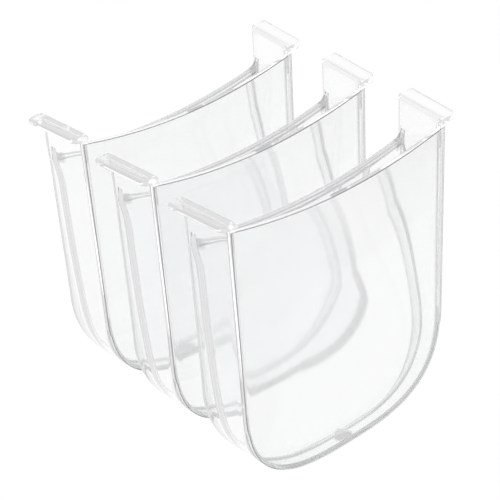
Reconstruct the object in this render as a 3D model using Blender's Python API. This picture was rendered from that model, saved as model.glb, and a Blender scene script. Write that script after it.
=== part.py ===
"""Three clear moulded pockets that hang in a row between two rails.

Every pocket is a U-shaped band with a curved back wall, a rim ledge along the
top of that wall, an ear at each end and a flat front window bonded to the
band's front edge.  Each pocket lifts straight up off its rails.

Frame: +Z up, X along the width of a pocket, Y from the front window to the
back wall.  Z = 0 is the underside of the ear flanges, where the rails carry
them; X = 0 is the middle of the width; Y = 0 is the middle of the row.
"""
import math

import bmesh
import bpy
from mathutils import Vector

MM = 0.001

# Driving dimensions, in metres.
POCKET_NAMES = ("front_pocket", "middle_pocket", "rear_pocket")
PITCH = 41.5 * MM                 # front face of one pocket to the next
WIDTH = 100.0 * MM                # over the front window, at the top
DEPTH = 23.5 * MM                 # front face of the window to the skirt's edge
HEIGHT = 122.0 * MM               # top of the flanges to the lowest point
WALL = 2.0 * MM                   # moulded wall, window and back wall alike
GAP = 0.3 * MM                    # glue line between the window and the band

SIDE_DROP = 79.0 * MM             # top of the flanges to the start of the bottom curve
SIDE_TAPER = 0.012                # each side leans in by this much per unit of height
CORNER_POWER = 2.85               # squareness of the bottom curve (2 is an ellipse)
WINDOW_PROUD = 0.5 * MM           # the window stands out past the band's sides
PLAN_FLARE = 2.0 * MM             # the band is this much wider at the back, each side

FLANGE_THICKNESS = 2.8 * MM
FLANGE_REACH = 5.7 * MM           # outward from the band's outer side
FLANGE_OVERRUN = 1.2 * MM         # past the band at the front and at the back

LEDGE_END_DROP = 16.2 * MM        # top of the flanges to the ledge, at the ears
LEDGE_SAG = 6.2 * MM              # the ledge is this much lower in the middle
LEDGE_HEIGHT = 3.0 * MM
WINDOW_END_DROP = 4.5 * MM        # top of the flanges to the window's top corners
WINDOW_SAG = 6.0 * MM

BACK_TOP_Y = 18.8 * MM            # middle of the back wall, at the ledge
BACK_SWEEP = 9.8 * MM             # how far it comes forward by the bottom
BACK_START_DROP = 15.0 * MM
SKIRT_START_DROP = 85.0 * MM      # the skirt behind the back wall narrows from here
SKIRT_SWEEP = 13.0 * MM

SIDE_LEVELS = 5                   # heights along the straight part of a side
CORNER_LEVELS = 16                # heights around the bottom curve
ARC_STATIONS = 16                 # steps along the sagging top edges
BAND_TOP_DROP = 1.0 * MM          # the band ends inside the flanges
BEYOND = 5.0 * MM                 # how far a cutter runs past what it cuts
CUT_DEPTH = 30.0 * MM             # back face of the cutters
MOUTH_SPREAD = 1.05               # the mouth cutter reaches past both ears
LEDGE_INSET = 0.1 * MM            # the ledge stops short of the skirt's edge
LOW_STRIP = 0.55                  # flat strip at the lowest point, of the slice above it

CLEAR_TINT = (0.93, 0.95, 0.96, 1.0)


def height_at(drop):
    """World height of a point this far below the top of the flanges."""
    return FLANGE_THICKNESS - drop


def sagging_drop(x, end_drop, sag):
    """Drop of a top edge that sags between the two ears."""
    across = min(1.0, abs(x) / (0.5 * WIDTH))
    return end_drop + sag * (1.0 - across ** 2)


def side_profile(wall, half_width):
    """(drop, half width) pairs down one side and round to the lowest point."""
    top_half = half_width - wall
    corner_half = top_half - SIDE_TAPER * SIDE_DROP
    corner_height = HEIGHT - wall - SIDE_DROP
    pairs = []
    for step in range(SIDE_LEVELS):
        drop = SIDE_DROP * step / SIDE_LEVELS
        pairs.append((drop, top_half - SIDE_TAPER * drop))
    for step in range(CORNER_LEVELS):
        angle = 0.5 * math.pi * step / CORNER_LEVELS
        across = math.cos(angle) ** (2.0 / CORNER_POWER)
        down = math.sin(angle) ** (2.0 / CORNER_POWER)
        pairs.append((SIDE_DROP + corner_height * down, corner_half * across))
    return pairs


def lowest_half_width(pairs):
    """Half width of the flat strip that closes the lowest point."""
    return LOW_STRIP * pairs[-1][1]


def plan_scale(y):
    """Width at depth y over the width at the front of the band."""
    front_half = 0.5 * WIDTH - WINDOW_PROUD
    return 1.0 + PLAN_FLARE / front_half * y / DEPTH


def back_wall_y(drop):
    """Depth of the middle of the back wall at this drop."""
    down = (drop - BACK_START_DROP) / (HEIGHT - BACK_START_DROP)
    down = max(0.0, min(1.0, down))
    return BACK_TOP_Y - BACK_SWEEP * down ** 3


def skirt_y(drop):
    """Depth of the free edge of the band at this drop."""
    down = (drop - SKIRT_START_DROP) / (HEIGHT - SKIRT_START_DROP)
    down = max(0.0, min(1.0, down))
    return DEPTH - SKIRT_SWEEP * down ** 2


def mesh_object(name, mesh_data):
    """A new object with a bmesh's geometry, its faces pointing out."""
    bmesh.ops.recalc_face_normals(mesh_data, faces=mesh_data.faces)
    mesh = bpy.data.meshes.new(name)
    mesh_data.to_mesh(mesh)
    mesh_data.free()
    made = bpy.data.objects.new(name, mesh)
    bpy.context.scene.collection.objects.link(made)
    return made


def sliced_solid(name, slices):
    """A closed solid through rings of equally many points."""
    solid = bmesh.new()
    rings = [[solid.verts.new(point) for point in ring] for ring in slices]
    count = len(rings[0])
    for upper, lower in zip(rings, rings[1:]):
        for corner in range(count):
            after = (corner + 1) % count
            solid.faces.new((upper[corner], upper[after], lower[after], lower[corner]))
    solid.faces.new(rings[0])
    solid.faces.new(rings[-1])
    return mesh_object(name, solid)


def plan_slice(drop, half, near, far):
    """Four corners of a level slice, wider at the back than at the front."""
    z = height_at(drop)
    near_half = half * plan_scale(near)
    far_half = half * plan_scale(far)
    return [(-near_half, near, z), (near_half, near, z), (far_half, far, z), (-far_half, far, z)]


def band_slices(wall, near_of, far_of, top_drop):
    """Slices of the band's outline, thinned by wall, between two depths."""
    pairs = side_profile(wall, 0.5 * WIDTH - WINDOW_PROUD)
    pairs[0] = (top_drop, pairs[0][1])
    slices = [plan_slice(drop, half, near_of(drop), far_of(drop)) for drop, half in pairs]
    low_drop = HEIGHT - wall
    low_half = lowest_half_width(pairs)
    slices.append(plan_slice(low_drop, low_half, near_of(low_drop), far_of(low_drop)))
    return slices


def apply_boolean(target, tool, operation):
    """Cut or join tool into target, and remove tool."""
    modifier = target.modifiers.new(operation.lower(), "BOOLEAN")
    modifier.operation = operation
    modifier.object = tool
    modifier.solver = "EXACT"
    graph = bpy.context.evaluated_depsgraph_get()
    cut = bpy.data.meshes.new_from_object(target.evaluated_get(graph))
    target.modifiers.clear()
    target.data = cut
    bpy.data.objects.remove(tool)


def band_block():
    """The U outline, solid right across, from the flanges down."""
    near = WALL + GAP
    return sliced_solid("band", band_slices(0.0, lambda drop: near, skirt_y, BAND_TOP_DROP))


def front_cavity():
    """The space that holds the chips, in front of the back wall."""
    def back_face(drop):
        return back_wall_y(drop) - 0.5 * WALL
    return sliced_solid("cavity", band_slices(WALL, lambda drop: -BEYOND, back_face, -BEYOND))


def rear_recess():
    """The hollow behind the back wall, inside the skirt."""
    def back_face(drop):
        return back_wall_y(drop) + 0.5 * WALL
    return sliced_solid("recess", band_slices(WALL, back_face, lambda drop: CUT_DEPTH, -BEYOND))


def mouth_cutter():
    """Everything between the ears above the sagging ledge."""
    slices = []
    for step in range(ARC_STATIONS + 1):
        x = 0.5 * WIDTH * (2.0 * step / ARC_STATIONS - 1.0)
        low = height_at(sagging_drop(x, LEDGE_END_DROP, LEDGE_SAG))
        wide_x = x * MOUTH_SPREAD
        slices.append([(wide_x, y, z) for y, z in ((-BEYOND, low), (CUT_DEPTH, low),
                                                   (CUT_DEPTH, BEYOND), (-BEYOND, BEYOND))])
    mouth = sliced_solid("mouth", slices)
    inside = band_slices(WALL, lambda drop: -BEYOND, lambda drop: CUT_DEPTH, -BEYOND)
    apply_boolean(mouth, sliced_solid("inside", inside), "INTERSECT")
    return mouth


def ledge_bar():
    """The rim ledge that runs from ear to ear along the back wall's top."""
    half = 0.5 * WIDTH - WINDOW_PROUD - 0.5 * WALL
    near = BACK_TOP_Y - 0.5 * WALL
    slices = []
    for step in range(ARC_STATIONS + 1):
        x = half * (2.0 * step / ARC_STATIONS - 1.0)
        top = height_at(sagging_drop(x, LEDGE_END_DROP, LEDGE_SAG))
        low = top - LEDGE_HEIGHT
        far_x = x * plan_scale(DEPTH)
        far = DEPTH - LEDGE_INSET
        slices.append([(x, near, low), (far_x, far, low), (far_x, far, top), (x, near, top)])
    return sliced_solid("ledge", slices)


def ear_flange(side):
    """The flange along the top of one ear, which rests on a rail."""
    near = -FLANGE_OVERRUN
    far = DEPTH + FLANGE_OVERRUN
    outer_half = 0.5 * WIDTH - WINDOW_PROUD
    slices = []
    for z in (FLANGE_THICKNESS, 0.0):
        ring = []
        for y, reach in ((near, -WALL), (near, FLANGE_REACH), (far, FLANGE_REACH), (far, -WALL)):
            ring.append((side * (outer_half * plan_scale(y) + reach), y, z))
        slices.append(ring)
    return sliced_solid("flange", slices)


def pocket_body(name):
    """One moulded pocket without its window."""
    body = band_block()
    body.name = name
    apply_boolean(body, front_cavity(), "DIFFERENCE")
    apply_boolean(body, rear_recess(), "DIFFERENCE")
    apply_boolean(body, mouth_cutter(), "DIFFERENCE")
    apply_boolean(body, ledge_bar(), "UNION")
    for side in (-1.0, 1.0):
        apply_boolean(body, ear_flange(side), "UNION")
    return body


def pocket_window(name):
    """The flat front window, with a sagging top edge."""
    pairs = side_profile(0.0, 0.5 * WIDTH)
    low_half = lowest_half_width(pairs)
    outline = [(half, drop) for drop, half in pairs if drop > WINDOW_END_DROP]
    outline.append((low_half, HEIGHT))
    outline += [(-half, drop) for half, drop in reversed(outline)]
    half_top = 0.5 * WIDTH - SIDE_TAPER * WINDOW_END_DROP
    for step in range(ARC_STATIONS + 1):
        x = half_top * (2.0 * step / ARC_STATIONS - 1.0)
        outline.append((x, sagging_drop(x, WINDOW_END_DROP, WINDOW_SAG)))
    slices = [[(x, y, height_at(drop)) for x, drop in outline] for y in (0.0, WALL)]
    return sliced_solid(name, slices)


def clear_plastic(name):
    """Clear, glossy moulded plastic."""
    material = bpy.data.materials.new(name)
    material.use_nodes = True
    shader = material.node_tree.nodes["Principled BSDF"]
    shader.inputs["Base Color"].default_value = CLEAR_TINT
    shader.inputs["Roughness"].default_value = 0.05
    shader.inputs["Metallic"].default_value = 0.0
    shader.inputs["Transmission Weight"].default_value = 0.9
    return material


def build_pocket(name, row_index):
    """A pocket's two pieces, under an empty on its lift axis."""
    row_depth = PITCH * (len(POCKET_NAMES) - 1) + DEPTH
    lift_axis = bpy.data.objects.new(name + "_lift_axis", None)
    lift_axis.location = Vector((0.0, PITCH * row_index - 0.5 * row_depth, 0.0))
    bpy.context.scene.collection.objects.link(lift_axis)
    for piece in (pocket_body(name + "_body"), pocket_window(name + "_window")):
        piece.parent = lift_axis
        piece.data.materials.clear()
        piece.data.materials.append(clear_plastic(piece.name + "_plastic"))


def main():
    for old in list(bpy.data.objects):
        bpy.data.objects.remove(old)
    for row_index, name in enumerate(POCKET_NAMES):
        build_pocket(name, row_index)


main()
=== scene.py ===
"""Clear hanging chip pockets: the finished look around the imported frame.

Each pocket is a moulded shell (band, back wall, ledge, ears and flanges) with a
flat window on its front.  Drops are measured down from the top of the flanges
and depths back from the window's front face.
"""
import math

import bmesh
import bpy
from mathutils import Euler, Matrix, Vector


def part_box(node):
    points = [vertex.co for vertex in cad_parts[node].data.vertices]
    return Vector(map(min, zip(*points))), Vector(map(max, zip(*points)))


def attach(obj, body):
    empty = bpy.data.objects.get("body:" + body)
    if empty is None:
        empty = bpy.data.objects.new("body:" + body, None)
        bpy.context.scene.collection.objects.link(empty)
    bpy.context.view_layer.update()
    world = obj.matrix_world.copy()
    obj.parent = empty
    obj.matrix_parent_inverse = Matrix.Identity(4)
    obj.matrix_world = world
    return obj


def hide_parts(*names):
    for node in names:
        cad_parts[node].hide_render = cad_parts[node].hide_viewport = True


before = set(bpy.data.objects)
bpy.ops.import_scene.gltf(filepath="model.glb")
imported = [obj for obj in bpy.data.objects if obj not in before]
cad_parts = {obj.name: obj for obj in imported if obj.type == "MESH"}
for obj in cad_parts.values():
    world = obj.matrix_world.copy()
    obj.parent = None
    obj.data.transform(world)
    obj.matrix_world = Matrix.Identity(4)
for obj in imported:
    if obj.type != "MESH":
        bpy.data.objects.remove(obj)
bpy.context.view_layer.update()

bl_info = {
    "name": "Hanging chip pockets",
    "version": (1, 0, 0),
    "blender": (4, 5, 0),
    "location": "View3D > Sidebar > Chip Pockets",
    "description": "Builds a row of clear moulded chip pockets and their studio",
    "category": "Add Mesh",
}

MM = 0.001
POCKETS = ("front_pocket", "middle_pocket", "rear_pocket")
SHELL_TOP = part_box("front_pocket_body")[1].z
POCKET_HEIGHT = SHELL_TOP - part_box("front_pocket_body")[0].z
WINDOW_WIDTH = 2.0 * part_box("front_pocket_window")[1].x
WINDOW_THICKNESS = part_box("front_pocket_window")[1].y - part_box("front_pocket_window")[0].y


# ---------------------------------------------------------------- settings

class PocketSizes(bpy.types.PropertyGroup):
    """Sizes of one pocket, in metres."""
    wall: bpy.props.FloatProperty(
        name="Wall", description="Thickness of the moulded wall",
        default=WINDOW_THICKNESS, unit="LENGTH")
    depth: bpy.props.FloatProperty(
        name="Depth", description="Window's front face to the skirt's edge",
        default=23.5 * MM, unit="LENGTH")
    glue_line: bpy.props.FloatProperty(
        name="Glue line", description="Gap between the window and the band",
        default=0.15 * MM, unit="LENGTH")
    side_drop: bpy.props.FloatProperty(
        name="Side drop", description="Drop to the start of the bottom curve",
        default=79.0 * MM, unit="LENGTH")
    side_taper: bpy.props.FloatProperty(
        name="Side taper", description="How far a side leans in, per unit of drop", default=0.012)
    corner_power: bpy.props.FloatProperty(
        name="Corner power", description="Squareness of the bottom curve", default=2.85)
    window_proud: bpy.props.FloatProperty(
        name="Window proud", description="How far the window stands out past each side",
        default=0.5 * MM, unit="LENGTH")
    plan_flare: bpy.props.FloatProperty(
        name="Plan flare", description="Extra half width at the back of the band",
        default=2.0 * MM, unit="LENGTH")
    ledge_end_drop: bpy.props.FloatProperty(
        name="Ledge end drop", description="Drop to the ledge beside the ears",
        default=16.2 * MM, unit="LENGTH")
    ledge_sag: bpy.props.FloatProperty(
        name="Ledge sag", description="How much lower the ledge is in the middle",
        default=6.2 * MM, unit="LENGTH")
    ledge_height: bpy.props.FloatProperty(
        name="Ledge height", description="Height of the rim ledge",
        default=3.2 * MM, unit="LENGTH")
    window_end_drop: bpy.props.FloatProperty(
        name="Window end drop", description="Drop to the window's top corners",
        default=4.5 * MM, unit="LENGTH")
    window_sag: bpy.props.FloatProperty(
        name="Window sag", description="How much lower the window's edge is in the middle",
        default=6.0 * MM, unit="LENGTH")
    flange_thickness: bpy.props.FloatProperty(
        name="Flange thickness", description="Thickness of the ear flanges",
        default=2.8 * MM, unit="LENGTH")
    flange_reach: bpy.props.FloatProperty(
        name="Flange reach", description="How far a flange stands out from the band",
        default=4.9 * MM, unit="LENGTH")
    flange_overrun: bpy.props.FloatProperty(
        name="Flange overrun", description="How far a flange runs past the band's ends",
        default=1.15 * MM, unit="LENGTH")
    back_top: bpy.props.FloatProperty(
        name="Back wall depth", description="Depth of the back wall's middle, high up",
        default=18.8 * MM, unit="LENGTH")
    back_sweep: bpy.props.FloatProperty(
        name="Back wall sweep", description="How far the back wall comes forward by the bottom",
        default=9.8 * MM, unit="LENGTH")
    fillet: bpy.props.FloatProperty(
        name="Fillet", description="Radius inside the corners of the moulding",
        default=0.8 * MM, unit="LENGTH")


class ClearLook(bpy.types.PropertyGroup):
    """Colour and finish of the clear plastic, with its painted edge shade and painted glow."""
    tint: bpy.props.FloatVectorProperty(
        name="Tint", description="Colour of the moulded shells", subtype="COLOR",
        size=3, min=0.0, max=1.0, default=(0.885, 0.888, 0.89))
    window_tint: bpy.props.FloatVectorProperty(
        name="Window tint", description="Colour of the flat windows", subtype="COLOR",
        size=3, min=0.0, max=1.0, default=(0.885, 0.888, 0.89))
    # painted shade: the darker colour laid on the rounded edges and fillets, standing in for the dark lines
    # refraction draws there
    painted_rim_shade: bpy.props.FloatVectorProperty(
        name="Rim tint", description="Colour of the rounded edges and fillets", subtype="COLOR",
        size=3, min=0.0, max=1.0, default=(0.45, 0.455, 0.46))
    # painted shade: the much darker colour laid on the windows' eased edges
    painted_window_rim_shade: bpy.props.FloatVectorProperty(
        name="Window rim tint", description="Colour of the windows' eased edges", subtype="COLOR",
        size=3, min=0.0, max=1.0, default=(0.12, 0.123, 0.126))
    # painted light: the plastic glows everywhere with this faint emission, standing in for light its haze
    # would scatter back
    painted_haze_glow: bpy.props.FloatProperty(
        name="Haze light", description="Room light that the faint haze scatters back", default=0.045)
    ior: bpy.props.FloatProperty(
        name="Refractive index", description="Refractive index of the plastic", default=1.5)
    # painted light: emission strength of the plastic's glow on deep rays, standing in for light the walls
    # carry inside them
    painted_trapped_glow: bpy.props.FloatProperty(
        name="Trapped light", description="Room light that the walls carry inside them", default=0.28)
    roughness: bpy.props.FloatProperty(
        name="Roughness", description="Roughness of the polished faces", default=0.03)


class StageLook(bpy.types.PropertyGroup):
    """The floor and the light."""
    floor_colour: bpy.props.FloatVectorProperty(
        name="Floor colour", description="Colour of the pale floor", subtype="COLOR",
        size=3, min=0.0, max=1.0, default=(0.99, 0.99, 0.99))
    floor_glow: bpy.props.FloatProperty(
        name="Floor glow", description="Light given off by the lit floor", default=1.0)
    sky_low: bpy.props.FloatProperty(
        name="Light at the horizon", description="Brightness of the room's walls", default=0.5)
    sky_high: bpy.props.FloatProperty(
        name="Light overhead", description="Brightness of the overhead softbox", default=1.0)


# ---------------------------------------------------------------- shape rules

def sagging_drop(x, end_drop, sag):
    """Drop of a top edge that sags between the ears."""
    across = min(1.0, abs(x) / (0.5 * WINDOW_WIDTH))
    return end_drop + sag * (1.0 - across ** 2)


def plan_scale(sizes, depth):
    """Width at this depth over the width at the band's front."""
    front_half = 0.5 * WINDOW_WIDTH - sizes.window_proud
    return 1.0 + sizes.plan_flare / front_half * depth / sizes.depth


def back_wall_base(sizes, drop):
    """Depth of the middle of the back wall, away from the ledge."""
    start = 15.0 * MM
    down = max(0.0, min(1.0, (drop - start) / (POCKET_HEIGHT - start)))
    return sizes.back_top - sizes.back_sweep * down ** 3


def back_wall_depth(sizes, x, drop):
    """Depth of the middle of the back wall, with its curve out to the ledge."""
    ledge_low = sagging_drop(x, sizes.ledge_end_drop, sizes.ledge_sag) + sizes.ledge_height
    base = back_wall_base(sizes, drop)
    top_depth = sizes.depth - SKIRT_ROUND - 0.5 * sizes.wall - 0.4 * MM
    below = max(0.0, drop - ledge_low)
    return base + (top_depth - base) * math.exp(-(below / (4.5 * MM)) ** 1.5)


def skirt_depth(sizes, drop):
    """Depth of the free edge of the band."""
    start = 85.0 * MM
    down = max(0.0, min(1.0, (drop - start) / (POCKET_HEIGHT - start)))
    return sizes.depth - 13.0 * MM * down ** 2


def side_station(sizes, drop=None, angle=0.0):
    """Point and outward normal on the band's outer side, as (x, drop) pairs."""
    half = 0.5 * WINDOW_WIDTH - sizes.window_proud
    if drop is not None:
        lean = math.atan(sizes.side_taper)
        return (half - sizes.side_taper * drop, drop), (math.cos(lean), math.sin(lean))
    a = half - sizes.side_taper * sizes.side_drop
    b = POCKET_HEIGHT - sizes.side_drop
    power = sizes.corner_power
    cos, sin = max(0.0, math.cos(angle)), math.sin(angle)
    across, down = cos ** (2.0 / power), sin ** (2.0 / power)
    normal = Vector((across ** (power - 1.0) / a, down ** (power - 1.0) / b)).normalized()
    return (a * across, sizes.side_drop + b * down), (normal.x, normal.y)


def shell_stations(sizes):
    """Stations from just below the ledge's ends, down a side and round to the middle."""
    top = sizes.ledge_end_drop + sizes.ledge_height
    drops = [top + step * MM for step in (0.0, 1.5, 3.0, 4.5, 6.0, 8.0, 10.5, 14.0, 20.0, 30.0, 42.0, 53.0)]
    stations = [side_station(sizes, drop=drop) for drop in drops]
    for step in range(CORNER_STEPS + 1):
        stations.append(side_station(sizes, angle=0.5 * math.pi * step / CORNER_STEPS))
    return stations


CORNER_STEPS = 44
WALL_COLUMNS = 18
FILLET_STEPS = 4
SIDE_COLUMNS = 8
SKIRT_STEPS = 6
SKIRT_ROUND = 0.9 * MM        # radius of the skirt's free edge, along the depth
EDGE_ROUND = 0.35 * MM        # radius of the band's front edges
LEDGE_EXTRA = 0.8 * MM        # how much thicker the ledge is than the wall under it
LEDGE_UNDERCUT = 0.25 * MM
LEDGE_EDGE = 0.5 * MM         # radius of the ledge's top edges
LEDGE_CURVE = 2.2 * MM        # radius where the ledge turns up into an ear
EAR_FOOT = 13.0 * MM          # drop of the ear's lowest level row
EAR_ROWS = 10
EAR_ROW = 0.95 * MM
EAR_FILLET = 1.3 * MM
EAR_FILLET_ROWS = 6
EAR_LEAN = 1.4 * MM           # how far the inner face leans out by the flange's top
EAR_LEAN_DROP = 3.8 * MM
FLANGE_CORNER = 1.8 * MM      # radius of the flange's near outer corner, seen from above
FLANGE_TOP = 0.5 * MM         # how far the flange's top stays below the frame's
FLANGE_EDGE = 0.4 * MM
RIM_HEIGHT = 0.3 * MM         # how far the thicker rim stands out
RIM_BLEND = 2.2 * MM
RIM_NEAR_DROP = 5.5 * MM      # drop of the slanted line at the window
RIM_SLOPE = 0.52


# ---------------------------------------------------------------- shell mesh

def place(sizes, front, x, depth, drop):
    """World position of a pocket point, widened towards the back."""
    return Vector((x * plan_scale(sizes, depth), front + depth, SHELL_TOP - drop))


def side_section(sizes, skirt, wall_front, wall_rear):
    """(inward offset, depth) along a side, from the rear fillet round to the front one."""
    wall = sizes.wall
    recess = skirt - wall_rear
    rear_fillet = min(sizes.fillet, 0.3 * recess)
    skirt_round = min(SKIRT_ROUND, 0.5 * recess)
    near = WINDOW_THICKNESS + sizes.glue_line
    points = []
    for step in range(FILLET_STEPS + 1):
        turn = 0.5 * math.pi * step / FILLET_STEPS
        points.append((wall + rear_fillet * (1.0 - math.sin(turn)),
                       wall_rear + rear_fillet * (1.0 - math.cos(turn))))
    skirt_start = skirt - skirt_round
    for step in range(1, 3):
        points.append((wall, wall_rear + rear_fillet + (skirt_start - wall_rear - rear_fillet) * step / 3.0))
    for step in range(SKIRT_STEPS + 1):
        turn = math.pi * step / SKIRT_STEPS
        points.append((0.5 * wall * (1.0 + math.cos(turn)), skirt_start + skirt_round * math.sin(turn)))
    for step in range(1, SIDE_COLUMNS):
        points.append((0.0, skirt_start + (near + EDGE_ROUND - skirt_start) * step / SIDE_COLUMNS))
    for turn in (0.0, 0.25 * math.pi, 0.5 * math.pi):
        points.append((EDGE_ROUND * (1.0 - math.cos(turn)), near + EDGE_ROUND * (1.0 - math.sin(turn))))
    for turn in (0.5 * math.pi, 0.25 * math.pi, 0.0):
        points.append((wall - EDGE_ROUND * (1.0 - math.cos(turn)),
                       near + EDGE_ROUND * (1.0 - math.sin(turn))))
    front_start = wall_front - sizes.fillet
    for step in range(1, SIDE_COLUMNS):
        points.append((wall, near + EDGE_ROUND + (front_start - near - EDGE_ROUND) * step / SIDE_COLUMNS))
    for step in range(FILLET_STEPS + 1):
        turn = 0.5 * math.pi * step / FILLET_STEPS
        points.append((wall + sizes.fillet * (1.0 - math.cos(turn)),
                       front_start + sizes.fillet * math.sin(turn)))
    return points


def shell_row(sizes, front, station):
    """One row of the shell, from the middle of the back wall's rear face round to its front face."""
    (x, drop), (nx, nd) = station
    depth_here = back_wall_depth(sizes, x, drop)
    wall_rear = depth_here + 0.5 * sizes.wall
    wall_front = depth_here - 0.5 * sizes.wall
    section = side_section(sizes, skirt_depth(sizes, drop), wall_front, wall_rear)
    side = [(x - nx * inward, depth, drop - nd * inward) for inward, depth in section]
    rear = wall_columns(sizes, side[0], 0.5 * sizes.wall)
    ahead = wall_columns(sizes, side[-1], -0.5 * sizes.wall)
    row = rear[:-1] + side + ahead[-2::-1]
    return [place(sizes, front, *point) for point in row], len(rear) - 1, len(side)


def wall_columns(sizes, end, offset):
    """Points across half of the back wall, from its middle out to a fillet's end."""
    end_x, end_depth, end_drop = end
    top = sizes.ledge_end_drop + sizes.ledge_height
    fade = max(0.0, 1.0 - (end_drop - top) / (60.0 * MM))
    shift = end_depth - back_wall_depth(sizes, end_x, end_drop) - offset
    points = []
    for column in range(WALL_COLUMNS + 1):
        across = math.sin(0.5 * math.pi * column / WALL_COLUMNS)
        x = end_x * across
        sag = sagging_drop(x, 0.0, sizes.ledge_sag) - sagging_drop(end_x, 0.0, sizes.ledge_sag)
        drop = end_drop + fade * sag
        depth = back_wall_depth(sizes, x, drop) + offset + shift * across ** 8
        points.append((x, depth, drop))
    return points


def extrude_row(mesh, row, positions, closed=False):
    """Extrudes a row of vertices into the next row, and puts that at positions."""
    pairs = list(zip(row, row[1:])) + ([(row[-1], row[0])] if closed else [])
    edges = [mesh.edges.get(pair) or mesh.edges.new(pair) for pair in pairs]
    made = bmesh.ops.extrude_edge_only(mesh, edges=edges)["geom"]
    fresh = {part for part in made if isinstance(part, bmesh.types.BMVert)}
    following = []
    for vertex in row:
        following.append(next(edge.other_vert(vertex) for edge in vertex.link_edges
                              if edge.other_vert(vertex) in fresh))
    for vertex, position in zip(following, positions):
        vertex.co = position
    return following


def ledge_profile(sizes):
    """(depth, drop below the ledge's top) over the ledge, from front to rear."""
    rear = sizes.depth - SKIRT_ROUND
    ahead = rear - sizes.wall - LEDGE_EXTRA
    height, edge = sizes.ledge_height, LEDGE_EDGE
    return [(ahead, 0.7 * height), (ahead, edge), (ahead + 0.3 * edge, 0.3 * edge), (ahead + edge, 0.0),
            (0.5 * (ahead + rear), 0.0), (rear - edge, 0.0), (rear - 0.3 * edge, 0.3 * edge), (rear, edge),
            (rear, 0.7 * height), (rear - LEDGE_UNDERCUT, height)]


def ledge_rise(x, end_x):
    """How far the ledge curves up into the ear near its end."""
    into = max(0.0, min(1.0, 1.0 - (end_x - abs(x)) / LEDGE_CURVE))
    return LEDGE_CURVE * (1.0 - math.sqrt(1.0 - into ** 2)) * 0.6


def ear_sections(sizes):
    """(drop, outward reach, end overrun, inner rounding) for the rows up an ear and round its flange."""
    thick, over, edge = sizes.flange_thickness, sizes.flange_overrun, FLANGE_EDGE
    rows = [(EAR_FOOT - step * EAR_ROW, 0.0, 0.0, 0.0) for step in range(EAR_ROWS)]
    for step in range(EAR_FILLET_ROWS):
        turn = 0.5 * math.pi * step / (EAR_FILLET_ROWS - 1)
        rows.append((thick + EAR_FILLET * (1.0 - math.sin(turn)), EAR_FILLET * (1.0 - math.cos(turn)),
                     over * (1.0 - math.cos(turn)) ** 1.5, 0.0))
    outer = sizes.flange_reach - edge
    quarter = (0.0, 0.25 * math.pi, 0.5 * math.pi)
    for turn in quarter:
        rows.append((thick - edge + edge * math.cos(turn), outer + edge * math.sin(turn), over, 0.0))
    for turn in quarter:
        rows.append((FLANGE_TOP + edge * (1.0 - math.sin(turn)), outer + edge * math.cos(turn), over,
                     edge * (1.0 - math.cos(turn))))
    return rows


def build_shell(sizes, front):
    """The whole moulding of one pocket: half of it row by row, then mirrored."""
    mesh = bmesh.new()
    stations = shell_stations(sizes)
    positions, rear_count, side_count = shell_row(sizes, front, stations[0])
    top_row = [mesh.verts.new(position) for position in positions]
    row = top_row
    for station in stations[1:]:
        row = extrude_row(mesh, row, shell_row(sizes, front, station)[0])
    side_end = rear_count + side_count
    crown_ledge(mesh, sizes, front, top_row, rear_count, side_end)
    raise_ear(mesh, sizes, front, top_row, rear_count, side_end)
    bmesh.ops.remove_doubles(mesh, verts=mesh.verts, dist=0.002 * MM)
    bmesh.ops.mirror(mesh, geom=mesh.verts[:] + mesh.edges[:] + mesh.faces[:], axis="X",
                     merge_dist=0.01 * MM)
    bmesh.ops.dissolve_degenerate(mesh, edges=mesh.edges, dist=0.001 * MM)
    bmesh.ops.recalc_face_normals(mesh, faces=mesh.faces)
    return mesh


def crown_ledge(mesh, sizes, front, top_row, rear_count, side_end):
    """Carries the back wall's front face up and over the ledge to its rear face."""
    ahead = top_row[side_end - 1:]
    rear = top_row[rear_count::-1]
    row = ahead
    end_points = []
    ends = (ahead[0].co.x, rear[0].co.x)
    profile = ledge_profile(sizes)
    for step, (depth, below) in enumerate(profile):
        share = step / (len(profile) - 1)
        end_x = (ends[0] + (ends[1] - ends[0]) * share) / plan_scale(sizes, depth)
        positions = []
        for column in range(WALL_COLUMNS, -1, -1):
            x = end_x * math.sin(0.5 * math.pi * column / WALL_COLUMNS)
            rise = ledge_rise(x, end_x) * (1.0 - min(1.0, below / sizes.ledge_height))
            drop = sagging_drop(x, sizes.ledge_end_drop, sizes.ledge_sag) + below - rise
            positions.append(place(sizes, front, x, depth, drop))
        row = extrude_row(mesh, row, positions)
        end_points.append(row[0])
    for upper, lower in zip(zip(row, row[1:]), zip(rear, rear[1:])):
        mesh.faces.new((upper[0], upper[1], lower[1], lower[0]))
    top_row.extend(end_points)


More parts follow.
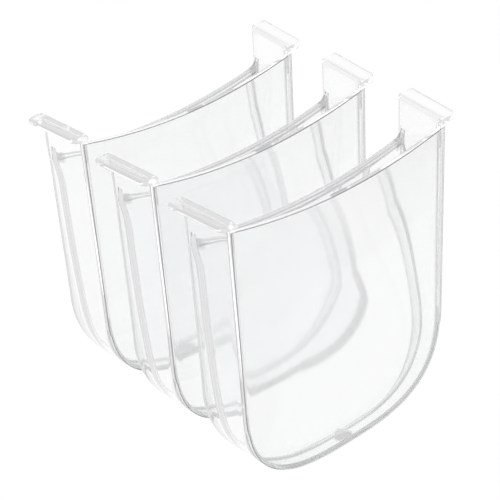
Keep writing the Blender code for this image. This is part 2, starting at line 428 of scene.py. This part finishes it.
def raise_ear(mesh, sizes, front, top_row, rear_count, side_end):
    """Extrudes the loop around a side's top up the ear and out into its flange."""
    span = 2 * WALL_COLUMNS + side_end - rear_count
    ends = top_row[span:]
    loop = top_row[rear_count:side_end] + ends
    wall = sizes.wall
    high = sizes.depth - SKIRT_ROUND
    section = side_section(sizes, sizes.depth, high - wall - LEDGE_EXTRA, high - LEDGE_UNDERCUT)
    offsets = list(section) + [(wall, 0.0)] * len(ends)
    flat = list(range(len(section) - FILLET_STEPS - 1, len(offsets))) + list(range(FILLET_STEPS + 3))
    low = section[len(section) - FILLET_STEPS - 1][1]
    for rank, index in enumerate(flat):
        offsets[index] = (wall, low + (high - low) * rank / (len(flat) - 1))
    rise = sizes.ledge_end_drop - 2.6 * MM
    target = ear_row(sizes, front, offsets, rise, 0.0, 0.0, 0.0)
    between = []
    for vertex, goal in zip(loop, target):
        corner = Vector((goal.x, vertex.co.y, vertex.co.z))
        between.append(corner + 0.29 * ((vertex.co - corner) + (goal - corner)))
    row = extrude_row(mesh, loop, between, closed=True)
    row = extrude_row(mesh, row, target, closed=True)
    for drop, reach, over, rounding in ear_sections(sizes):
        row = extrude_row(mesh, row, ear_row(sizes, front, offsets, drop, reach, over, rounding), closed=True)
    mesh.faces.new(row)


def rim_step(depth, drop):
    """How far the thicker rim stands out above the slanted line on a side's outer face."""
    line = RIM_NEAR_DROP + RIM_SLOPE * depth
    return RIM_HEIGHT * max(0.0, min(1.0, (line - drop) / RIM_BLEND + 0.5))


def ear_row(sizes, front, offsets, drop, reach, over, rounding):
    """Positions of one loop of the ear, pushed out by reach and lengthened by over."""
    (x, _), _ = side_station(sizes, drop=drop)
    wall = sizes.wall
    near = WINDOW_THICKNESS + sizes.glue_line
    middle = 0.5 * (near + sizes.depth)
    half = 0.5 * (sizes.depth - near)
    forward = (near + sizes.flange_overrun) * over / sizes.flange_overrun
    grown = reach / sizes.flange_reach
    lean = EAR_LEAN * max(0.0, 1.0 - drop / EAR_LEAN_DROP) ** 1.4
    positions = []
    for inward, depth in offsets:
        if inward < 0.5 * wall and depth < near + 1.01 * EDGE_ROUND:
            swell = 1.0 + (FLANGE_CORNER / EDGE_ROUND - 1.0) * grown
            inward, depth, out = inward * swell, near + (depth - near) * swell, 1.0
        else:
            out = 1.0 - inward / wall
        along = (depth - middle) / half
        stretched = depth + (over * along if along > 0.0 else forward * along)
        pull = (rounding + lean) * (1.0 - out)
        proud = rim_step(depth, drop) if inward < 0.05 * wall else 0.0
        positions.append(place(sizes, front, x - inward + out * reach + pull + proud, stretched, drop))
    return positions


# ---------------------------------------------------------------- window mesh

TOP_EDGE_STEPS = 24
STEP_DROP = 91.0 * MM         # where the window stops standing proud of the band
STEP_FADE = 1.5 * MM
WINDOW_EASE = 0.3 * MM


def build_window(sizes, front):
    """The flat window: half an outline, mirrored, thickened and eased at its edges."""
    mesh = bmesh.new()
    half = 0.5 * WINDOW_WIDTH
    outline = []
    for step in range(TOP_EDGE_STEPS + 1):
        x = (half - sizes.side_taper * sizes.window_end_drop) * step / TOP_EDGE_STEPS
        outline.append((x, sagging_drop(x, sizes.window_end_drop, sizes.window_sag)))
    for drop in (30.0 * MM, 60.0 * MM, sizes.side_drop):
        outline.append((half - sizes.side_taper * drop, drop))
    for step in range(1, CORNER_STEPS + 1):
        (x, drop), (nx, nd) = side_station(sizes, angle=0.5 * math.pi * step / CORNER_STEPS)
        proud = sizes.window_proud * max(0.0, min(1.0, (STEP_DROP - drop) / STEP_FADE))
        outline.append((x + nx * proud, drop + nd * proud))
    verts = [mesh.verts.new((x, front, SHELL_TOP - drop)) for x, drop in outline]
    face = mesh.faces.new(verts)
    bmesh.ops.mirror(mesh, geom=[face] + face.verts[:] + face.edges[:], axis="X", merge_dist=0.01 * MM)
    seam = [edge for edge in mesh.edges if len(edge.link_faces) == 2]
    bmesh.ops.dissolve_edges(mesh, edges=seam, use_verts=False)
    made = bmesh.ops.extrude_face_region(mesh, geom=mesh.faces[:])["geom"]
    moved = [part for part in made if isinstance(part, bmesh.types.BMVert)]
    bmesh.ops.translate(mesh, verts=moved, vec=(0.0, WINDOW_THICKNESS, 0.0))
    bmesh.ops.recalc_face_normals(mesh, faces=mesh.faces)
    rims = [edge for edge in mesh.edges if edge.calc_face_angle(0.0) > 1.0]
    bmesh.ops.bevel(mesh, geom=rims, offset=WINDOW_EASE, affect="EDGES", segments=3, profile=0.5,
                    material=-1)
    return mesh


# ---------------------------------------------------------------- materials

CLOUD_SHADE = 0.985           # darkest tint of the faint haze, over the plain tint
# painted light: the top of the shell, over the flanges, is lighter
PAINTED_FLANGE_LIGHT_DROP = 3.0 * MM
PAINTED_FLANGE_LIGHT_SHARE = 0.3
PAINTED_FLANGE_LIGHT_TINT = (0.985, 0.985, 0.985)
GATE_DEPTH = 5.5 * MM
GATE_RADIUS = 3.6 * MM
GATE_HEIGHT = 4.0 * MM        # how far above the lowest point the mark may reach
GATE_TINT = (0.55, 0.553, 0.557)
GATE_FROST = 0.3
DEEP_GLOSSY = 3.5             # glossy bounces after which the plastic shows its full painted glow, a stand-in for light trapped in the walls
DEEP_RAY = 11.5


def moulding_marks():
    """Group shared by the plastics: faint haze, fine scratches and slow flow waves."""
    group = bpy.data.node_groups.new("moulding_marks", "ShaderNodeTree")
    make = group.interface.new_socket
    make("Vector", in_out="INPUT", socket_type="NodeSocketVector")
    for name, value in (("Polish", 0.03), ("Haze", 0.03), ("Scratches", 0.1)):
        make(name, in_out="INPUT", socket_type="NodeSocketFloat").default_value = value
    make("Roughness", in_out="OUTPUT", socket_type="NodeSocketFloat")
    make("Height", in_out="OUTPUT", socket_type="NodeSocketFloat")
    make("Cloud", in_out="OUTPUT", socket_type="NodeSocketFloat")
    nodes, links = group.nodes, group.links
    given, result = nodes.new("NodeGroupInput"), nodes.new("NodeGroupOutput")

    cloud = nodes.new("ShaderNodeTexNoise")
    cloud.inputs["Scale"].default_value = 45.0
    cloud.inputs["Detail"].default_value = 3.0
    links.new(given.outputs["Vector"], cloud.inputs["Vector"])

    lines = nodes.new("ShaderNodeMapping")
    lines.inputs["Rotation"].default_value = (0.35, 0.5, 0.9)
    lines.inputs["Scale"].default_value = (60.0, 60.0, 2600.0)
    links.new(given.outputs["Vector"], lines.inputs["Vector"])
    strokes = nodes.new("ShaderNodeTexNoise")
    strokes.inputs["Scale"].default_value = 1.0
    strokes.inputs["Detail"].default_value = 2.0
    links.new(lines.outputs["Vector"], strokes.inputs["Vector"])
    scratch = nodes.new("ShaderNodeMapRange")
    scratch.inputs["From Min"].default_value = 0.7
    scratch.inputs["From Max"].default_value = 0.78
    links.new(strokes.outputs["Fac"], scratch.inputs["Value"])

    flow = nodes.new("ShaderNodeTexNoise")
    flow.inputs["Scale"].default_value = 28.0
    flow.inputs["Detail"].default_value = 1.0
    flow.inputs["Distortion"].default_value = 0.8
    links.new(given.outputs["Vector"], flow.inputs["Vector"])

    hazy = math_node(nodes, links, "MULTIPLY", cloud.outputs["Fac"], given.outputs["Haze"])
    scored = math_node(nodes, links, "MULTIPLY", scratch.outputs["Result"], given.outputs["Scratches"])
    polish = math_node(nodes, links, "ADD", hazy, given.outputs["Polish"])
    links.new(math_node(nodes, links, "ADD", polish, scored), result.inputs["Roughness"])
    links.new(flow.outputs["Fac"], result.inputs["Height"])
    links.new(cloud.outputs["Fac"], result.inputs["Cloud"])
    return group


def shared_marks():
    """The marks group, built once."""
    return bpy.data.node_groups.get("moulding_marks") or moulding_marks()


def math_node(nodes, links, operation, first, second):
    """A Math node fed by sockets or numbers."""
    node = nodes.new("ShaderNodeMath")
    node.operation = operation
    for socket, value in zip(node.inputs, (first, second)):
        if isinstance(value, (int, float)):
            socket.default_value = value
        else:
            links.new(value, socket)
    return node.outputs[0]


def tint_mix(nodes, links, factor, base, tint):
    """A colour that goes from base, which is a socket or a colour, to tint."""
    mix = nodes.new("ShaderNodeMix")
    mix.data_type = "RGBA"
    mix.inputs["B"].default_value = (*tint, 1.0)
    links.new(factor, mix.inputs["Factor"])
    if isinstance(base, bpy.types.NodeSocket):
        links.new(base, mix.inputs["A"])
    else:
        mix.inputs["A"].default_value = (*base, 1.0)
    return mix.outputs["Result"]


def gate_mask(nodes, links, place):
    """Round frosted mark on the floor of a pocket, where the plastic was let in."""
    depth = nodes.new("ShaderNodeAttribute")
    depth.attribute_name = "depth"
    spot = nodes.new("ShaderNodeCombineXYZ")
    links.new(place.outputs["X"], spot.inputs["X"])
    links.new(math_node(nodes, links, "SUBTRACT", depth.outputs["Fac"], GATE_DEPTH), spot.inputs["Y"])
    radius = nodes.new("ShaderNodeVectorMath")
    radius.operation = "LENGTH"
    links.new(spot.outputs[0], radius.inputs[0])
    disc = math_node(nodes, links, "LESS_THAN", radius.outputs["Value"], GATE_RADIUS)
    low = math_node(nodes, links, "LESS_THAN", place.outputs["Z"], SHELL_TOP - POCKET_HEIGHT + GATE_HEIGHT)
    return math_node(nodes, links, "MULTIPLY", disc, low)


def shell_touches(nodes, links, place_of, tinted, roughness):
    """The shell's own touches: painted light that makes the flanges' tops lighter, and the frosted gate mark.
    """
    place = nodes.new("ShaderNodeSeparateXYZ")
    links.new(place_of, place.inputs[0])
    # painted light: lighter colour over the top of the flanges
    flange_light_mask = math_node(nodes, links, "GREATER_THAN", place.outputs["Z"], SHELL_TOP - PAINTED_FLANGE_LIGHT_DROP)
    share = math_node(nodes, links, "MULTIPLY", flange_light_mask, PAINTED_FLANGE_LIGHT_SHARE)
    tinted = tint_mix(nodes, links, share, tinted, PAINTED_FLANGE_LIGHT_TINT)
    mask = gate_mask(nodes, links, place)
    tinted = tint_mix(nodes, links, mask, tinted, GATE_TINT)
    frost = math_node(nodes, links, "MULTIPLY", mask, GATE_FROST)
    return tinted, math_node(nodes, links, "ADD", roughness, frost)


def painted_glow(nodes, links, look, shader):
    """Painted glow: light trapped in the walls comes out in the end, so the plastic emits a faint glow
    everywhere and a full one on the deepest rays, standing in for the room's light.
    """
    path = nodes.new("ShaderNodeLightPath")
    trapped = math_node(nodes, links, "GREATER_THAN", path.outputs["Glossy Depth"], DEEP_GLOSSY)
    deep = math_node(nodes, links, "GREATER_THAN", path.outputs["Ray Depth"], DEEP_RAY)
    filled = math_node(nodes, links, "MAXIMUM", trapped, deep)
    glow = math_node(nodes, links, "MAXIMUM", filled, look.painted_haze_glow / look.painted_trapped_glow)
    links.new(glow, shader.inputs["Emission Color"])
    shader.inputs["Emission Strength"].default_value = look.painted_trapped_glow


def clear_plastic(look, name, tint, painted_rim_shade, marks, moulded=False):
    """Clear plastic: plain glassy shader, with haze, scratches, flow waves, painted shade on the rims and a
    painted glow.
    """
    material = bpy.data.materials.new(name)
    material.use_nodes = True
    nodes, links = material.node_tree.nodes, material.node_tree.links
    shader = nodes["Principled BSDF"]
    shader.inputs["IOR"].default_value = look.ior
    shader.inputs["Transmission Weight"].default_value = 1.0
    shader.inputs["Metallic"].default_value = 0.0

    place_of = nodes.new("ShaderNodeTexCoord").outputs["Object"]
    surface = nodes.new("ShaderNodeGroup")
    surface.node_tree = marks
    surface.inputs["Polish"].default_value = look.roughness
    links.new(place_of, surface.inputs["Vector"])

    clouded = [CLOUD_SHADE * part for part in tint]
    tinted = tint_mix(nodes, links, surface.outputs["Cloud"], tint, clouded)
    rim = nodes.new("ShaderNodeAttribute")
    rim.attribute_name = "rim"
    # painted shade: darker colour on the rounded edges, fillets and the skirt behind the back wall
    tinted = tint_mix(nodes, links, rim.outputs["Fac"], tinted, painted_rim_shade)
    roughness = surface.outputs["Roughness"]
    if moulded:
        tinted, roughness = shell_touches(nodes, links, place_of, tinted, roughness)
    links.new(tinted, shader.inputs["Base Color"])
    links.new(roughness, shader.inputs["Roughness"])

    bump = nodes.new("ShaderNodeBump")
    bump.inputs["Strength"].default_value = 0.02
    bump.inputs["Distance"].default_value = 0.4 * MM
    links.new(surface.outputs["Height"], bump.inputs["Height"])
    links.new(bump.outputs["Normal"], shader.inputs["Normal"])
    # painted light: a glow emitted by the plastic, faint everywhere and full on deep rays
    painted_glow(nodes, links, look, shader)
    return material


# ---------------------------------------------------------------- finishing

NARROW = 1.3 * MM             # widest face that counts as a rounded edge
FLAT_TURN = 5.0               # degrees between faces below which an edge isn't rounded
ROUND_TURN = 13.0
EAR_TOP_DROP = 5.0 * MM       # above this the painted shade on the rounded edges is weaker
EAR_TOP_SHADE_SHARE = 0.35
# painted shade: the greyest the free skirt gets behind the back wall
PAINTED_SKIRT_SHADE = 0.32
SKIRT_START = 6.0 * MM        # drop below the ledge's ends where the painted shade on the skirt starts
SKIRT_FULL = 70.0 * MM
SKIRT_FADE = 1.5 * MM
SHARP = math.radians(38.0)


def rounding_of(face):
    """Strength of the painted edge shade: near 1 on the narrow faces of a rounded edge or fillet, 0 on flat
    and gently curved ones.
    """
    turns = sorted(edge.calc_face_angle(0.0) for edge in face.edges)
    breadth = face.calc_area() / max(edge.calc_length() for edge in face.edges)
    if breadth > NARROW:
        return 0.0
    share = EAR_TOP_SHADE_SHARE if face.calc_center_median().z > SHELL_TOP - EAR_TOP_DROP else 1.0
    return share * max(0.0, min(1.0, (math.degrees(turns[-2]) - FLAT_TURN) / (ROUND_TURN - FLAT_TURN)))


def painted_skirt_shade(sizes, point):
    """Painted shade on the free skirt behind the back wall, darker towards the bottom."""
    drop = SHELL_TOP - point.z
    behind = point.y - back_wall_base(sizes, drop) - sizes.wall
    if abs(point.x) < 0.2 * WINDOW_WIDTH or drop < sizes.ledge_end_drop + SKIRT_START:
        return 0.0
    return PAINTED_SKIRT_SHADE * max(0.0, min(1.0, behind / SKIRT_FADE)) * min(1.0, drop / SKIRT_FULL)


def finish_piece(mesh, name, body, node, material):
    """Makes the piece's object and ties it to its body, node and slot."""
    depth = mesh.verts.layers.float.new("depth")
    rim = mesh.faces.layers.float.new("rim")
    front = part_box(body + "_window")[0].y
    sizes = bpy.context.scene.chip_pocket_sizes
    for vertex in mesh.verts:
        vertex[depth] = vertex.co.y - front
    for face in mesh.faces:
        centre = face.calc_center_median() - Vector((0.0, front, 0.0))
        # painted shade strength: darker rounded edges and a greyer skirt
        face[rim] = max(rounding_of(face), painted_skirt_shade(sizes, centre))
    data = bpy.data.meshes.new(name)
    mesh.to_mesh(data)
    mesh.free()
    data.shade_smooth()
    data.set_sharp_from_angle(angle=SHARP)
    piece = bpy.data.objects.new(name, data)
    bpy.context.scene.collection.objects.link(piece)
    data.materials.append(material)
    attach(piece, body)
    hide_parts(node)
    return piece


# ---------------------------------------------------------------- operators

class CHIPPOCKET_OT_shells(bpy.types.Operator):
    """Moulded shells of the three pockets"""
    bl_idname = "chippocket.shells"
    bl_label = "Pocket shells"

    def execute(self, context):
        sizes = context.scene.chip_pocket_sizes
        look = context.scene.chip_pocket_clear
        material = clear_plastic(look, "clear_shell_plastic", look.tint, look.painted_rim_shade,
                                 shared_marks(), moulded=True)
        for pocket in POCKETS:
            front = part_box(pocket + "_window")[0].y
            finish_piece(build_shell(sizes, front), pocket + "_shell", pocket, pocket + "_body",
                         material)
        return {"FINISHED"}


class CHIPPOCKET_OT_windows(bpy.types.Operator):
    """Flat front windows of the three pockets"""
    bl_idname = "chippocket.windows"
    bl_label = "Pocket windows"

    def execute(self, context):
        sizes = context.scene.chip_pocket_sizes
        look = context.scene.chip_pocket_clear
        material = clear_plastic(look, "clear_window_plastic", look.window_tint, look.painted_window_rim_shade,
                                 shared_marks())
        for pocket in POCKETS:
            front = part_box(pocket + "_window")[0].y
            finish_piece(build_window(sizes, front), pocket + "_front_window", pocket,
                         pocket + "_window", material)
        return {"FINISHED"}


class CHIPPOCKET_OT_stage(bpy.types.Operator):
    """Pale floor, soft light and camera"""
    bl_idname = "chippocket.stage"
    bl_label = "Stage"

    def execute(self, context):
        look = context.scene.chip_pocket_stage
        build_floor(look)
        build_sky(look)
        build_camera()
        context.scene.view_settings.view_transform = "Standard"
        return {"FINISHED"}


FLOOR_HALF_WIDTH = 40.0
FLOOR_LEVEL = -0.45


def build_floor(look):
    """A wide lit floor, well below the hanging pockets."""
    mesh = bmesh.new()
    bmesh.ops.create_grid(mesh, x_segments=1, y_segments=1, size=FLOOR_HALF_WIDTH)
    bmesh.ops.translate(mesh, verts=mesh.verts, vec=(0.0, 0.0, FLOOR_LEVEL))
    data = bpy.data.meshes.new("floor")
    mesh.to_mesh(data)
    mesh.free()
    floor = bpy.data.objects.new("floor", data)
    bpy.context.scene.collection.objects.link(floor)
    material = bpy.data.materials.new("pale_floor")
    material.use_nodes = True
    shader = material.node_tree.nodes["Principled BSDF"]
    shader.inputs["Base Color"].default_value = (0.02, 0.02, 0.02, 1.0)
    shader.inputs["Specular IOR Level"].default_value = 0.0
    shader.inputs["Roughness"].default_value = 0.9
    shader.inputs["Emission Color"].default_value = (*look.floor_colour, 1.0)
    shader.inputs["Emission Strength"].default_value = look.floor_glow
    data.materials.append(material)


def build_sky(look):
    """Soft room light: dim walls and a bright ceiling."""
    world = bpy.data.worlds.new("studio")
    bpy.context.scene.world = world
    world.use_nodes = True
    nodes, links = world.node_tree.nodes, world.node_tree.links
    background = nodes["Background"]
    place_of = nodes.new("ShaderNodeTexCoord")
    split = nodes.new("ShaderNodeSeparateXYZ")
    ramp = nodes.new("ShaderNodeValToRGB")
    links.new(place_of.outputs["Generated"], split.inputs[0])
    links.new(split.outputs["Z"], ramp.inputs["Fac"])
    ramp.color_ramp.elements[0].position = 0.0
    ramp.color_ramp.elements[0].color = (look.sky_low,) * 3 + (1.0,)
    ramp.color_ramp.elements[1].position = 0.85
    ramp.color_ramp.elements[1].color = (look.sky_high,) * 3 + (1.0,)
    links.new(ramp.outputs["Color"], background.inputs["Color"])
    background.inputs["Strength"].default_value = 1.0


def build_camera():
    """The camera, looking down at the pockets from their front left."""
    azimuth, elevation = math.radians(-38.18), math.radians(33.29)
    distance, roll = 0.6112, math.radians(-3.75)
    target = Vector((-0.01097, -0.01325, -0.04524))
    back = Vector((math.sin(azimuth) * math.cos(elevation), -math.cos(azimuth) * math.cos(elevation),
                   math.sin(elevation)))
    camera = bpy.data.objects.new("camera", bpy.data.cameras.new("camera"))
    bpy.context.scene.collection.objects.link(camera)
    camera.location = target + back * distance
    facing = (-back).to_track_quat("-Z", "Y")
    camera.rotation_mode = "QUATERNION"
    camera.rotation_quaternion = facing @ Euler((0.0, 0.0, roll)).to_quaternion()
    camera.data.lens = 119.4
    camera.data.sensor_width = 36.0
    camera.data.clip_start = 0.01
    bpy.context.scene.camera = camera


class CHIPPOCKET_PT_panel(bpy.types.Panel):
    """Lists the builders of the chip pockets"""
    bl_label = "Chip Pockets"
    bl_space_type = "VIEW_3D"
    bl_region_type = "UI"
    bl_category = "Chip Pockets"

    def draw(self, context):
        layout = self.layout
        for operator in OPERATORS:
            layout.operator(operator.bl_idname)
        for settings in ("chip_pocket_sizes", "chip_pocket_clear", "chip_pocket_stage"):
            group = getattr(context.scene, settings)
            for name in group.__annotations__:
                layout.prop(group, name)


OPERATORS = (CHIPPOCKET_OT_shells, CHIPPOCKET_OT_windows, CHIPPOCKET_OT_stage)
CLASSES = (PocketSizes, ClearLook, StageLook) + OPERATORS + (CHIPPOCKET_PT_panel,)


def register():
    for item in CLASSES:
        bpy.utils.register_class(item)
    bpy.types.Scene.chip_pocket_sizes = bpy.props.PointerProperty(type=PocketSizes)
    bpy.types.Scene.chip_pocket_clear = bpy.props.PointerProperty(type=ClearLook)
    bpy.types.Scene.chip_pocket_stage = bpy.props.PointerProperty(type=StageLook)


def unregister():
    del bpy.types.Scene.chip_pocket_stage
    del bpy.types.Scene.chip_pocket_clear
    del bpy.types.Scene.chip_pocket_sizes
    for item in reversed(CLASSES):
        bpy.utils.unregister_class(item)


def main():
    register()
    bpy.ops.chippocket.shells()
    bpy.ops.chippocket.windows()
    bpy.ops.chippocket.stage()


if __name__ == "__main__":
    main()
